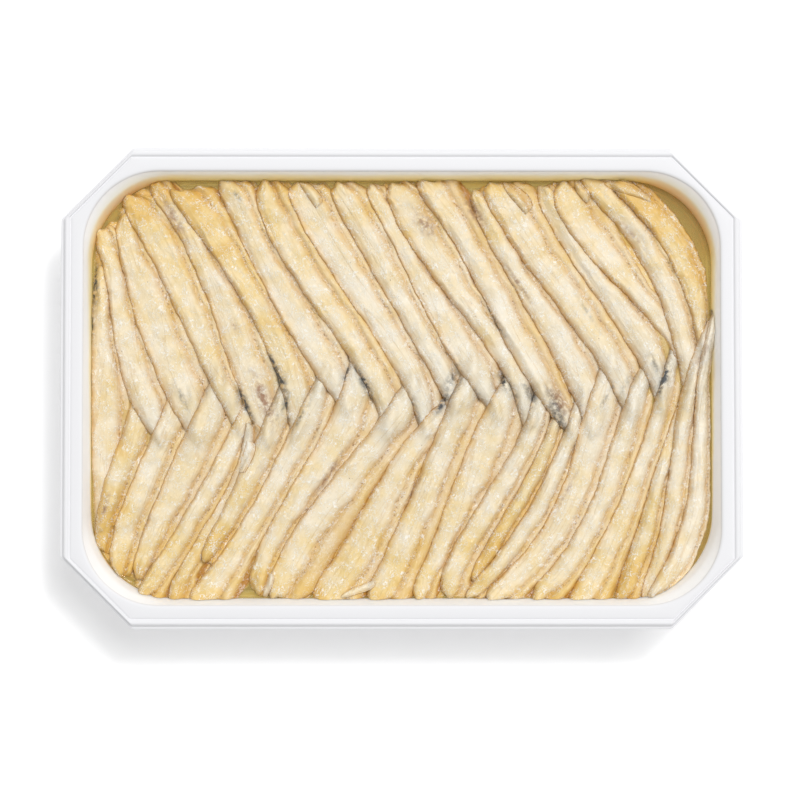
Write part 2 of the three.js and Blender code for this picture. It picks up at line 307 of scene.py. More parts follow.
def arc(centre, radius, start, end, steps):
    """Points of an arc in the plane, its ends included. The angles are in quarter turns."""
    angles = [(start + (end - start) * step / steps) * math.pi / 2 for step in range(steps + 1)]
    return [Vector((centre[0] + radius * math.cos(a), centre[1] + radius * math.sin(a))) for a in angles]


def join_corners(corners):
    """One closed outline: the corners' points with evenly divided straight runs between them."""
    outline = []
    for here, after in zip(corners, corners[1:] + corners[:1]):
        outline.extend(here)
        outline.extend(here[-1].lerp(after[0], step / STRAIGHT_STEPS) for step in range(1, STRAIGHT_STEPS))
    return outline


def round_outline(half_length, half_width, radius):
    """A rectangle with round corners."""
    corners = []
    for corner, (side_x, side_y) in enumerate(CORNERS):
        centre = (side_x * (half_length - radius), side_y * (half_width - radius))
        corners.append(arc(centre, radius, corner, corner + 1, CORNER_POINTS))
    return join_corners(corners)


def cut_outline(inset, corner_inset):
    """The rim's eight-sided outline, moved in along its straight sides and along its cut corners."""
    half_length = TRAY_LENGTH / 2 - inset
    half_width = TRAY_WIDTH / 2 - inset
    chamfer = RIM_CHAMFER - 2 * inset + math.sqrt(2) * corner_inset
    radius = max(RIM_VERTEX_RADIUS - inset / 2, MM)
    setback = radius * math.tan(math.pi / 8)
    corners = []
    for corner, (side_x, side_y) in enumerate(CORNERS):
        short_side = (side_x * (half_length - radius), side_y * (half_width - chamfer - setback))
        long_side = (side_x * (half_length - chamfer - setback), side_y * (half_width - radius))
        centres = (short_side, long_side) if corner % 2 == 0 else (long_side, short_side)
        first = arc(centres[0], radius, corner, corner + 0.5, ARC_STEPS)
        second = arc(centres[1], radius, corner + 0.5, corner + 1, ARC_STEPS)
        steps = range(1, CHAMFER_STEPS)
        chamfer_run = [first[-1].lerp(second[0], step / CHAMFER_STEPS) for step in steps]
        corners.append(first + chamfer_run + second)
    return join_corners(corners)


def opening_outline(inset, radius=None):
    """The outline of the opening's edge, moved in, or with corners of a radius of their own."""
    half_length, half_width = OPENING_LENGTH / 2 - inset, OPENING_WIDTH / 2 - inset
    return round_outline(half_length, half_width, OPENING_RADIUS - inset if radius is None else radius)


def wall_inset(z):
    """How far in from the opening's edge the inner face of the wall stands at a height."""
    return (RIM_TOP - z) * WALL_DRAFT


def corner_radius(inset):
    """The radius of the wall's inner corners, which are cones: it grows on the way down."""
    return OPENING_RADIUS + np.clip(CORNER_SPREAD * inset, 0, CORNER_SPREAD_END)


def inner_outline(inset):
    """The outline of the inner face of the wall where it stands so far in."""
    return opening_outline(inset, corner_radius(inset))


def ring(outline, z):
    """An outline at a height."""
    return [point.to_3d() + Vector((0, 0, z)) for point in outline]


def ring_body(name, rings, looped=False):
    """A mesh skinned over rings: a circle is laid on the first ring and extruded on to each next one."""
    shape = bmesh.new()
    circle = bmesh.ops.create_circle(shape, cap_ends=not looped, segments=len(rings[0]), radius=1)
    verts = sorted(circle["verts"], key=lambda vert: vert.index)
    for vert, place in zip(verts, rings[0]):
        vert.co = place
    edges = [edge for edge in shape.edges if not edge.is_manifold]
    first_edges = list(edges)
    for places in rings[1:]:
        grown = bmesh.ops.extrude_edge_only(shape, edges=edges)["geom"]
        fresh = {item for item in grown if isinstance(item, bmesh.types.BMVert)}
        verts = [next(edge.other_vert(vert) for edge in vert.link_edges if edge.other_vert(vert) in fresh)
                 for vert in verts]
        for vert, place in zip(verts, places):
            vert.co = place
        edges = [item for item in grown if isinstance(item, bmesh.types.BMEdge)
                 and item.verts[0] in fresh and item.verts[1] in fresh]
    if looped:
        bmesh.ops.bridge_loops(shape, edges=first_edges + edges)
    else:
        bmesh.ops.contextual_create(shape, geom=edges)
    bmesh.ops.recalc_face_normals(shape, faces=shape.faces)
    return finished_mesh(shape, name)


def heel_rings(outline, inset, floor, radius, steps=6):
    """The round foot of a wall, from its upright part to the flat floor."""
    rings = []
    for step in range(steps + 1):
        angle = step / steps * math.pi / 2
        here = outline(inset + radius * (1 - math.cos(angle)))
        rings.append(ring(here, floor + radius * (1 - math.sin(angle))))
    return rings


# The rim's section from its outer edge inwards: inset along the straight sides, inset along the
# cut corners, and depth below the rim's top, in millimetres.
RIM_SECTION = [
    (0.15, 0.1, 3.0), (0, 0, 2.8), (0, 0, 1.95), (0.12, 0.1, 1.82), (0.3, 0.2, 1.78),
    (0.75, 0.55, 1.76), (0.95, 0.65, 1.66), (1.1, 0.75, 1.45), (1.6, 1.05, 0.4), (1.8, 1.15, 0.14),
    (2.1, 1.3, 0.02), (2.45, 1.45, 0), (2.8, 1.65, 0.05), (3.1, 1.8, 0.2), (3.35, 1.95, 0.62),
    (3.55, 2.05, 0.82), (3.75, 2.2, 0.86), (3.95, 2.35, 0.78), (4.2, 2.55, 0.5), (4.45, 2.75, 0.42),
]
# The land's inner edge, turned down into the wall: how far out from the opening's edge, and depth.
LAND_EDGE = [(1.4, 0.4), (0.9, 0.43), (0.45, 0.56), (0.1, 0.85), (-0.1, 1.25), (-0.22, 1.8)]


def tray_mesh():
    """The tray, from the middle of its underside out and up to the rim, over it and down inside."""
    outer_heel = heel_rings(opening_outline, wall_inset(0) - WALL, 0, HEEL_RADIUS + WALL)
    rings = list(reversed(outer_heel))
    rings.append(ring(opening_outline(wall_inset(FLANGE_UNDERSIDE) - WALL), FLANGE_UNDERSIDE - 0.5 * MM))
    rings.append(ring(opening_outline(wall_inset(FLANGE_UNDERSIDE) - 1.5 * WALL), FLANGE_UNDERSIDE))
    rings.append(ring(cut_outline(2.2 * MM, 1.4 * MM), FLANGE_UNDERSIDE))
    rings.append(ring(cut_outline(1.2 * MM, 0.9 * MM), RIM_TOP - 3 * MM))
    for inset, corner_inset, depth in RIM_SECTION:
        rings.append(ring(cut_outline(inset * MM, corner_inset * MM), RIM_TOP - depth * MM))
    for outset, depth in LAND_EDGE:
        rings.append(ring(opening_outline(-outset * MM), RIM_TOP - depth * MM))
    outside = len(rings)
    rings.extend(ring(inner_outline(wall_inset(z * MM)), z * MM) for z in (36, 33, 30, 27, 22, 14))
    rings.extend(heel_rings(inner_outline, wall_inset(WALL), WALL, HEEL_RADIUS))
    mesh = ring_body("moulded_tray", rings)
    ring_number = np.arange(len(mesh.vertices)) // len(rings[0])
    add_values(mesh, "inside", ring_number >= outside - 1)
    return mesh


class Bed:
    """The height of what already lies in the tray, on a fine square grid."""

    CELL = 0.4 * MM

    def __init__(self):
        self.half_length = OPENING_LENGTH / 2
        self.half_width = OPENING_WIDTH / 2
        columns = math.ceil(2 * self.half_length / self.CELL)
        rows = math.ceil(2 * self.half_width / self.CELL)
        self.height = np.full((rows, columns), BED_HEIGHT)

    def cell(self, x, y):
        """The row and column of places, kept just inside the grid's last ones."""
        column = (x + self.half_length) / self.CELL
        row = (y + self.half_width) / self.CELL
        rows, columns = self.height.shape
        return np.clip(row, 0, rows - 1.001), np.clip(column, 0, columns - 1.001)

    def sample(self, x, y):
        """The height at places between the cells."""
        row, column = self.cell(x, y)
        r, c = row.astype(int), column.astype(int)
        fr, fc = row - r, column - c
        h = self.height
        low = h[r, c] * (1 - fc) + h[r, c + 1] * fc
        high = h[r + 1, c] * (1 - fc) + h[r + 1, c + 1] * fc
        return low * (1 - fr) + high * fr

    def cover(self, x, y, z):
        """Raises the bed to a surface that now lies on it."""
        row, column = self.cell(finer(x), finer(y))
        cells = (row.round().astype(int), column.round().astype(int))
        np.maximum.at(self.height, cells, finer(z))


def corner_at(z):
    """The middle (x and y) and the radius of the wall's round corners at a height."""
    inset = wall_inset(z)
    radius = corner_radius(inset)
    return OPENING_LENGTH / 2 - inset - radius, OPENING_WIDTH / 2 - inset - radius, radius


def wall_distance(x, y):
    """How far a place is from the tray's wall at the oil's level."""
    centre_x, centre_y, radius = corner_at(OIL_LEVEL)
    over_x = np.abs(x) - centre_x
    over_y = np.abs(y) - centre_y
    outside = np.hypot(np.maximum(over_x, 0), np.maximum(over_y, 0))
    return radius - outside - np.minimum(np.maximum(over_x, over_y), 0)


def right_wall(y, z):
    """The x of the tray's right wall at places along it, to just short of its corners' ends."""
    centre_x, centre_y, radius = corner_at(z)
    over_y = np.clip(np.abs(y) - centre_y, 0, 0.98 * radius)
    return centre_x + np.sqrt(radius ** 2 - over_y ** 2) - WALL_MARGIN


def keep_inside(x, y, z):
    """Moves places that are too near the wall straight back from it."""
    centre_x, centre_y, radius = corner_at(z)
    radius = radius - WALL_MARGIN
    over_x = np.maximum(np.abs(x) - centre_x, 0)
    over_y = np.maximum(np.abs(y) - centre_y, 0)
    pull = np.minimum(1, radius / np.maximum(np.hypot(over_x, over_y), radius))
    inside_x = np.sign(x) * (np.minimum(np.abs(x), centre_x) + over_x * pull)
    inside_y = np.sign(y) * (np.minimum(np.abs(y), centre_y) + over_y * pull)
    return inside_x, inside_y


def finer(values):
    """A grid of values with one more row and column between every two."""
    for axis in (0, 1):
        count = values.shape[axis]
        place = np.linspace(0, count - 1, 2 * count - 1)
        low = np.minimum(place.astype(int), count - 2)
        part = (place - low).reshape((-1, 1) if axis == 0 else (1, -1))
        values = np.take(values, low, axis) * (1 - part) + np.take(values, low + 1, axis) * part
    return values


def blur(values, sigma, axis):
    """Smooths a grid along one axis, with its edges carried on."""
    reach = max(int(3 * sigma), 1)
    weights = np.exp(-0.5 * (np.arange(-reach, reach + 1) / sigma) ** 2)
    weights /= weights.sum()
    padding = [(0, 0), (0, 0)]
    padding[axis] = (reach, reach)
    padded = np.pad(values, padding, mode="edge")
    return np.apply_along_axis(lambda line: np.convolve(line, weights, mode="valid"), axis, padded)


def waves(rng, places, lengths, size):
    """A smooth uneven line: sines of a few wave lengths, each at a random phase."""
    total = 0
    for length in lengths:
        total = total + np.sin(2 * math.pi * places / length + rng.uniform(0, 2 * math.pi))
    return size * total / len(lengths)


def lumps(rng, shape, along, across, size):
    """A soft random relief: noise blurred over so many rows and lanes, of a given spread."""
    relief = blur(blur(rng.normal(size=shape), along, 0), across, 1)
    return size * relief / relief.std()


def fillet_blank(size):
    """A closed flat slip, fine on top and coarse below, with the row, lane and side of each vertex."""
    stations, lanes = size
    shape = bmesh.new()
    bmesh.ops.create_grid(shape, x_segments=lanes, y_segments=stations, size=1)
    grown = bmesh.ops.extrude_face_region(shape, geom=shape.faces[:])
    top = [item for item in grown["geom"] if isinstance(item, bmesh.types.BMVert)]
    bmesh.ops.translate(shape, verts=top, vec=(0, 0, 1))
    spare = []
    for edge in shape.edges:
        low, high = edge.verts
        lane = round((low.co.x + 1) / 2 * lanes)
        runs_along = abs(low.co.x - high.co.x) < 1e-6
        if low.co.z + high.co.z < 0.5 and runs_along and lane % (lanes // UNDERSIDE_LANES):
            spare.append(edge)
    bmesh.ops.dissolve_edges(shape, edges=spare, use_verts=True)
    bmesh.ops.recalc_face_normals(shape, faces=shape.faces)
    mesh = finished_mesh(shape, "fillet_blank")
    places = vertex_places(mesh)
    rows = np.rint((places[:, 1] + 1) / 2 * stations).astype(int)
    columns = np.rint((places[:, 0] + 1) / 2 * lanes).astype(int)
    return mesh, rows, columns, places[:, 2] > 0.5


def tip_share(distance, taper, tip):
    """How wide a fillet is near a tip, as a share of its full width: a quarter of an ellipse."""
    along = np.clip(distance / taper, 0, 1)
    return tip + (1 - tip) * np.sqrt(1 - (1 - along) ** 2)


def edge_x(line, y):
    """The x of a fillet's left edge at places along it: a cubic through four points, even in y."""
    outer_x, outer_y, first_x, second_x, inner_x, inner_y = (value * MM for value in line[:6])
    outer_pull = (-5 * outer_x + 18 * first_x - 9 * second_x + 2 * inner_x) / 6
    inner_pull = (2 * outer_x - 9 * first_x + 18 * second_x - 5 * inner_x) / 6
    share = np.clip((y - outer_y) / (inner_y - outer_y), 0, 1)
    return ((1 - share) ** 3 * outer_x + 3 * (1 - share) ** 2 * share * outer_pull
            + 3 * (1 - share) * share ** 2 * inner_pull + share ** 3 * inner_x)


def edge_line(line, outer_overrun, inner_overrun, stations):
    """A fillet's left edge, run straight on at both ends, in steps that are finest at the outer end:
    places, the direction ahead and the distance run."""
    samples, end_samples, crowding = 400, 12, 1.35
    y = np.linspace(line[1] * MM, line[5] * MM, samples)
    points = np.stack([edge_x(line, y), y], axis=1)
    outward = points[0] - points[end_samples]
    onward = points[-1] - points[-end_samples]
    first = points[0] + outward * outer_overrun / np.linalg.norm(outward)
    last = points[-1] + onward * inner_overrun / np.linalg.norm(onward)
    points = np.concatenate([[first], points, [last]])
    along = np.concatenate([[0], np.cumsum(np.hypot(*np.diff(points, axis=0).T))])
    run = along[-1] * np.linspace(0, 1, stations + 1) ** crowding
    places = np.stack([np.interp(run, along, points[:, axis]) for axis in (0, 1)], axis=1)
    ahead = np.gradient(places, axis=0)
    ahead = blur(ahead / np.linalg.norm(ahead, axis=1, keepdims=True), 5, 0)
    return places, ahead / np.linalg.norm(ahead, axis=1, keepdims=True), run[:, None]


def lobe(places, middle, half_width, height):
    """A plump round section: zero at its two sides and full in the middle."""
    flatness, steepness = LOBE_POWERS
    return height * np.clip(1 - np.abs((places - middle) / half_width) ** flatness, 0, 1) ** steepness


def room_beside(line, after, places, ahead):
    """The band between a fillet's left edge and the next one's, the room up to the wall, and how much
    thinner the fillet lies where the next one is close."""
    width = line[6] * MM
    square = np.abs(ahead[:, 1:])
    to_wall = (right_wall(places[:, 1:], OIL_LEVEL) - places[:, :1]) * square
    if after is None:
        room = np.minimum(LAST_REACH * width, to_wall)
        return room, room, np.ones_like(to_wall)
    to_next = (edge_x(after, places[:, 1:]) - places[:, :1]) * square
    least, most = BAND_LIMITS
    band = blur(np.clip(to_next, least * width, most * width), 8, 0)
    crowded = np.clip(to_next / (PLUMP_LIMITS[0] * width), 0.35, 1)
    return band, to_wall, blur(crowded, 8, 0)


def marked(marks, x, y):
    """How strongly a list of long soft marks shows at places."""
    total = np.zeros_like(x)
    for mark_x, mark_y, length, width, turn, strength in marks:
        turn = math.radians(turn)
        from_x, from_y = x / MM - mark_x, y / MM - mark_y
        along = (from_x * math.cos(turn) + from_y * math.sin(turn)) / length
        across = (from_y * math.cos(turn) - from_x * math.sin(turn)) / width
        total += strength * np.exp(-along ** 2 - across ** 2)
    return total


def inner_end(left_to_go, tip):
    """A share that falls towards a fillet's inner tip, over a shorter taper on a short piece."""
    return tip_share(left_to_go, min(INNER_TAPER, SHORT_TAPER * left_to_go[0, 0]), tip)


def fillet_widths(line, rng, run, left_to_go, band, to_wall):
    """For each row: how far from the edge line the fillet starts, how wide its plump lobe is, and how
    wide it is with the thin part that goes under the next one."""
    width, gold = line[6] * MM, line[8]
    outer = tip_share(run, OUTER_TAPER, rng.uniform(*OUTER_TIP))
    inner = inner_end(left_to_go, INNER_TIP)
    swell = 1 + waves(rng, run, *SWELL)
    slender = tip_share(run, SLENDER_END, rng.uniform(*OUTER_SLENDER))
    slender = slender * tip_share(left_to_go, SLENDER_END, INNER_SLENDER)
    notch = waves(rng, run, *NOTCHES) + waves(rng, run, *NICKS)
    start = (1 - outer) * width / 2 + width * notch

    # The more golden the thin part, the more of the band it takes from the lobe.
    least, most = PLUMP_LIMITS
    plump = np.clip((0.98 - 0.3 * gold ** 2) * band, least * width, most * width)
    plump = plump * outer * inner * slender * swell
    reach = np.minimum(band + REACH_UNDER_NEXT, np.maximum(to_wall, LEAST_REACH * width))
    reach = reach * tip_share(run, 2 * OUTER_TAPER, OUTER_REACH) * inner
    return start, np.minimum(plump, reach / 1.1), reach


def fillet_places(line, rng, places, ahead, run, offset):
    """The x and y of each row's lanes. The outer end is cut off aslant, more along the wall than
    square, and torn a little."""
    rightward = 1 if line[1] > line[5] else -1
    right = rightward * np.stack([-ahead[:, 1], ahead[:, 0]], axis=1)
    slant = rng.uniform(*SLANT) * rightward * ahead[0, 0] / max(abs(ahead[0, 1]), 0.3)
    tear = waves(rng, offset, *TEAR)
    pushed = np.exp(-run / TORN_END) * (np.clip(slant, 0, MOST_SLANT) * offset + tear)
    x = places[:, :1] + right[:, :1] * offset + ahead[:, :1] * pushed
    y = places[:, 1:] + right[:, 1:] * offset + ahead[:, 1:] * pushed
    return x, y


def drape(support, from_edge, size):
    """The underside of a fillet on what it lies on. It bridges the dips below it, but its left edge
    hugs them. Also says how closely each place hugs them."""
    stations, lanes = size
    bottom = blur(blur(support, 0.05 * stations, 0), 0.11 * lanes, 1)
    bottom = np.maximum(bottom, support - MOST_PRESSED)
    bottom = blur(blur(bottom, 2, 0), 0.8, 1)
    hugging = np.exp(-from_edge / HUGGING_EDGE)
    bottom += hugging * (blur(blur(support, 2, 0), 1, 1) - SKIN / 2 - bottom)
    return bottom, hugging


def fillet_section(rng, run, across, thin_end, height):
    """The height over the underside: a plump lobe, then a crease, then a thinner lobe that goes under
    the next fillet. Also how deep the crease is, and how far down the lobes' flanks each place is."""
    main = lobe(across, 0.5, 0.5, height)
    thin_share = rng.uniform(*THIN_SIDE_HEIGHT) + waves(rng, run, *THIN_SIDE_WAVES)
    middle, half_width = (THIN_SIDE_FROM + thin_end) / 2, (thin_end - THIN_SIDE_FROM) / 2
    beside = lobe(across, middle, half_width, height * thin_share)
    creased = np.clip(CREASED + waves(rng, run, *CREASE_WAVES), 0, 1)
    merged = (main ** 3 + beside ** 3) ** (1 / 3)
    full = creased * np.maximum(main, beside) + (1 - creased) * merged
    relief = sum(lumps(rng, full.shape, *scale) for scale in RELIEF)
    full = full * (1 + np.clip(relief, -MOST_RELIEF, MOST_RELIEF))
    ridge = np.maximum(main, 0.8 * beside / thin_share) / np.maximum(height, SKIN)
    return full, creased, np.clip(1 - ridge, 0, 1)


def lay_fillet(bed, line, rng, size, thickness, after=None, overruns=(OUTER_OVERRUN, INNER_OVERRUN)):
    """Lays one fillet on the bed. Returns the places of its underside and its top, the values that its
    look depends on, and how far across and along each place is."""
    warmth, gold, skin = line[7:10]
    places, ahead, run = edge_line(line, *overruns, size[0])
    left_to_go = run[-1, 0] - run
    band, to_wall, thinner = room_beside(line, after, places, ahead)
    start, plump, reach = fillet_widths(line, rng, run, left_to_go, band, to_wall)

    # The lanes lie closer together at the left edge, which shows best.
    share = np.linspace(0, 1, size[1] + 1)[None, :]
    offset = start + reach * (0.35 * share + 0.65 * share ** 2)
    from_edge = offset - start
    across = from_edge / plump
    x, y = fillet_places(line, rng, places, ahead, run, offset)
    inside = keep_inside(x, y, OIL_LEVEL)
    bottom, hugging = drape(bed.sample(*inside), from_edge, size)

    ends = tip_share(run, NOSE, 0) * tip_share(run, BLUNT_END, 0.8) * inner_end(left_to_go, 0.5)
    height = thickness * thinner * ends * (1 + waves(rng, run, *THICKNESS_WAVES))
    thin_end = np.minimum(np.maximum(band / plump + 0.15, THIN_SIDE_TO), reach / plump)
    full, creased, flank_oil_and_shade = fillet_section(rng, run, across, thin_end, height)
    top = bottom + SKIN * (1 - 0.6 * hugging) + full
    bed.cover(*inside, top)

    ones = np.ones_like(offset)
    # Golden tint on the thin part: partly its oil, partly painted shade, most under the next fillet's
    # edge.
    thin_side = np.clip((across - 0.9) / 0.2, 0, 1)
    oil_and_shade_under_next = np.exp(-np.abs(band - offset) / OIL_AND_SHADE_WIDTH) * np.clip((across - 0.6) / 0.4, 0, 1)
    golden = (0.08 + 0.92 * gold ** 4) * thin_side + 0.25 * oil_and_shade_under_next
    to_seam = left_to_go - overruns[1]
    at_seam = np.exp(-np.clip(to_seam, 0, None) / SEAM_END)
    skin_run = np.exp(-np.clip(to_seam - SKIN_START, 0, None) / SKIN_FADE)
    at_left = np.exp(-(from_edge / SKIN_WIDTH) ** 2)
    looks = {
        "warmth": (warmth + 0.4 * np.exp(-run / WARM_END)) * ones,
        "gold": np.clip(golden, 0, 1) if after else 0.15 * thin_side,
        "crease": np.exp(-((across - 0.97) / 0.05) ** 2) * creased,
        # Painted shade, golden as with oil, down the lobes' flanks.
        "flank_oil_and_shade": flank_oil_and_shade ** 1.7,
        # Painted contact shade, brown-gold and partly oil, where the flesh is thinnest at edges and
        # crevices.
        "low": np.exp(-full / (0.14 * thickness)),
        "seam": at_seam * (0.5 + 0.7 * skin) * ones,
        "skin": 0.5 * skin * skin_run * at_left + marked(SKIN_MARKS, x, y) * (0.5 + 0.5 * at_left),
        "blood": marked(BLOOD_MARKS, x, y),
    }
    return np.stack([x, y, bottom]), np.stack([x, y, top]), looks, (offset, run * ones)


def settle(bed, laid):
    """Lets the whole heap down where fillets lie several deep, then keeps it inside the wall."""
    xs = (np.arange(bed.height.shape[1]) * bed.CELL - bed.half_length)[None, :]
    ys = (np.arange(bed.height.shape[0]) * bed.CELL - bed.half_width)[:, None]
    from_wall = np.clip(wall_distance(xs, ys) / SETTLED_EDGE_WIDTH, 0, 1)
    level = SETTLED_HEIGHT - SETTLED_EDGE_DROP * (1 - from_wall) ** 2
    wide = SETTLING_WIDTH / bed.CELL
    down = Bed()
    down.height = blur(blur(bed.height, wide, 0), wide, 1) - level
    bed.height = bed.height - down.height
    for fillet in laid:
        for surface in fillet[:2]:
            surface[2] -= down.sample(surface[0], surface[1])
            surface[:2] = keep_inside(*surface)


def fillets_mesh(name, laid, blank):
    """Joins laid fillets into one mesh, with their looks as attributes and a UV map in metres."""
    blank_mesh, rows, lanes, is_top = blank
    joined = bmesh.new()
    for below, on_top, _, _ in laid:
        copy = blank_mesh.copy()
        places = np.where(is_top, on_top[:, rows, lanes], below[:, rows, lanes])
        copy.vertices.foreach_set("co", places.T.ravel())
        joined.from_mesh(copy)
        bpy.data.meshes.remove(copy)
    bmesh.ops.recalc_face_normals(joined, faces=joined.faces)
    mesh = finished_mesh(joined, name)
    for look in laid[0][2]:
        add_values(mesh, look, np.concatenate([fillet[2][look][rows, lanes] for fillet in laid]))
    corner_vertex = np.zeros(len(mesh.loops), np.int32)
    mesh.loops.foreach_get("vertex_index", corner_vertex)
    # Each fillet's patterns begin 50 mm further across, so that no two are alike.
    fibre_map = np.concatenate([
        np.stack([across[rows, lanes] + number * 50 * MM, along[rows, lanes]], axis=1)
        for number, (_, _, _, (across, along)) in enumerate(laid)])
    layer = mesh.uv_layers.new(name="fibres")
    layer.data.foreach_set("uv", fibre_map[corner_vertex].astype(np.float32).ravel())
    return mesh


def between(row):
    """Lines for fillets of the layer below, each half way between two neighbours of the row."""
    pairs = zip(row, row[1:])
    return [tuple((a + b) / 2 for a, b in zip(*pair)) for pair in pairs]


def lay_all(bed):
    """Lays the hidden layer, then the fillets that show in their order, then the scraps."""
    rng = np.random.default_rng(7)
    under = []
    for row in (UPPER_ROW, LOWER_ROW):
        for line in between(row):
            deeper = line[:7] + (rng.uniform(0.75, 0.95), 0.8, 0)
            under.append(lay_fillet(bed, deeper, rng, COARSE_BLANK, UNDER_THICKNESS))
    rows = {"u": iter(zip(UPPER_ROW, UPPER_ROW[1:] + [None])),
            "l": iter(zip(LOWER_ROW, LOWER_ROW[1:] + [None]))}
    shown = {"u": [], "l": []}
    for row in LAYING_ORDER:
        line, after = next(rows[row])
        shown[row].append(lay_fillet(bed, line, rng, FINE_BLANK, rng.uniform(*THICKNESS), after))
    scraps = [lay_fillet(bed, line, rng, COARSE_BLANK, line[10] * MM, overruns=(0, 0)) for line in SCRAPS]
    settle(bed, under + shown["u"] + shown["l"] + scraps)
    return under, shown["u"], shown["l"], scraps


def heap_core_mesh():
    """The hidden heap that the lowest fillets rest on, clear of the tray's round foot."""
    # How far in from the opening's edge, and how high, in millimetres.
    levels = ((14, HEAP_FLOOR / MM), (9, 6), (5.5, 18), (6.5, 20), (9, 21), (22, 21.5))
    rings = [ring(inner_outline(inset * MM), z * MM) for inset, z in levels]
    return ring_body("heap_core", rings)


def oil_mesh(bed):
    """The oil's surface with the rise that clings to the wall, as a closed band under the fillets."""
    at_wall = wall_inset(OIL_LEVEL)
    # The rise, from just inside the wall: how far from it, and how high, in millimetres.
    into_wall = 0.05
    climb = ((-into_wall, 0.75), (0.06, 0.55), (0.2, 0.33), (0.45, 0.15), (0.8, 0.05), (1.3, 0))
    radius = corner_radius(at_wall)
    foot = OIL_LEVEL - OIL_DEPTH
    steps = [(inset * MM, OIL_LEVEL + rise * MM) for inset, rise in climb]
    steps += [(inset * MM, OIL_LEVEL) for inset in range(2, round(OIL_BAND / MM) + 1)]
    steps.append((OIL_BAND, foot))
    rings = [ring(opening_outline(at_wall + inset, radius - inset), z) for inset, z in steps]
    rings.append(ring(inner_outline(wall_inset(foot) - into_wall * MM), foot))
    mesh = ring_body("golden_oil", rings, looped=True)
    places = vertex_places(mesh)
    soft = Bed()
    soft.height = blur(blur(bed.height, 3, 0), 3, 1)
    depth = (OIL_LEVEL - soft.sample(places[:, 0], places[:, 1])) / OIL_DEPTH
    shallow_edge = 1.5 * MM
    from_wall = np.repeat([max(inset, 0) for inset, _ in steps] + [0], len(rings[0])) / shallow_edge
    add_values(mesh, "depth", np.clip(depth, 0, 1) * np.clip(from_wall, 0, 1))
    return mesh


def polypropylene_material():
    """Moulded polypropylene: white, with a soft sheen, and milky where the thin wall lets light in."""
    material, tree, shader = new_material("moulded polypropylene", {
        "Roughness": 0.48, "IOR": 1.49, "Specular IOR Level": 0.06,
        "Subsurface Radius": (1.0, 0.97, 0.94), "Subsurface Scale": 4 * MM})
    place = add_node(tree, "ShaderNodeTexCoord").outputs["Object"]
    height = add_node(tree, "ShaderNodeSeparateXYZ", {0: place})
    # The film's edge wavers by up to 3 mm, with a wave about every 11 mm.
    waver = add_node(tree, "ShaderNodeTexNoise", {"Vector": place, "Scale": 0.09 / MM, "Detail": 3})
    level = add_node(tree, "ShaderNodeMath", {0: waver.outputs["Fac"], 1: 3 * MM, 2: height.outputs["Z"]},
                     operation="MULTIPLY_ADD")
    # The golden film is partly a real film of oil and partly painted warm shade, as bounced from the fish:
    # it climbs high on the wall at +Y, which faces away from the lights, and hardly at all on the one at
    # -Y.
    climb = add_node(tree, "ShaderNodeMapRange", {
        "Value": height.outputs["Y"], "From Min": -TRAY_WIDTH / 2, "From Max": TRAY_WIDTH / 2,
        "To Min": OIL_LEVEL + 1 * MM, "To Max": OIL_LEVEL + 16 * MM})
    film_and_shade = add_node(tree, "ShaderNodeMapRange", {
        "Value": level.outputs[0], "From Min": OIL_LEVEL, "From Max": climb.outputs[0],
        "To Min": 1, "To Max": 0}, interpolation_type="SMOOTHSTEP")
    inside = add_node(tree, "ShaderNodeAttribute", attribute_name="inside")
    inner_film_and_shade = add_node(tree, "ShaderNodeMath", {0: film_and_shade.outputs[0], 1: inside.outputs["Fac"]},
                      operation="MULTIPLY")
    colour = add_node(tree, "ShaderNodeValToRGB", {0: inner_film_and_shade.outputs[0]}, stops=[
        (0, "#fcfcfc"), (0.2, "#faf3e8"), (0.45, "#f6e2c3"), (0.8, "#f0d4a2"), (1, "#e6c584")])
    # Light comes through the thin wall as well, so it is paler than the rim.
    walled = add_node(tree, "ShaderNodeMix", {
        0: inside.outputs["Fac"], 6: linear_colour("#e9e9eb"),
        7: colour.outputs["Color"]}, data_type="RGBA")
    tree.links.new(walled.outputs[2], shader.inputs["Base Color"])
    # The mould's grain, drawn coarser than the real one, 0.4 mm from crest to crest, so that it shows.
    grain = add_node(tree, "ShaderNodeTexNoise", {"Vector": place, "Scale": 2.5 / MM, "Detail": 2})
    bump = add_node(tree, "ShaderNodeBump", {
        "Height": grain.outputs["Fac"], "Strength": 0.08, "Distance": 0.1 * MM})
    tree.links.new(bump.outputs["Normal"], shader.inputs["Normal"])
    tree.links.new(inside.outputs["Fac"], shader.inputs["Subsurface Weight"])
    return material


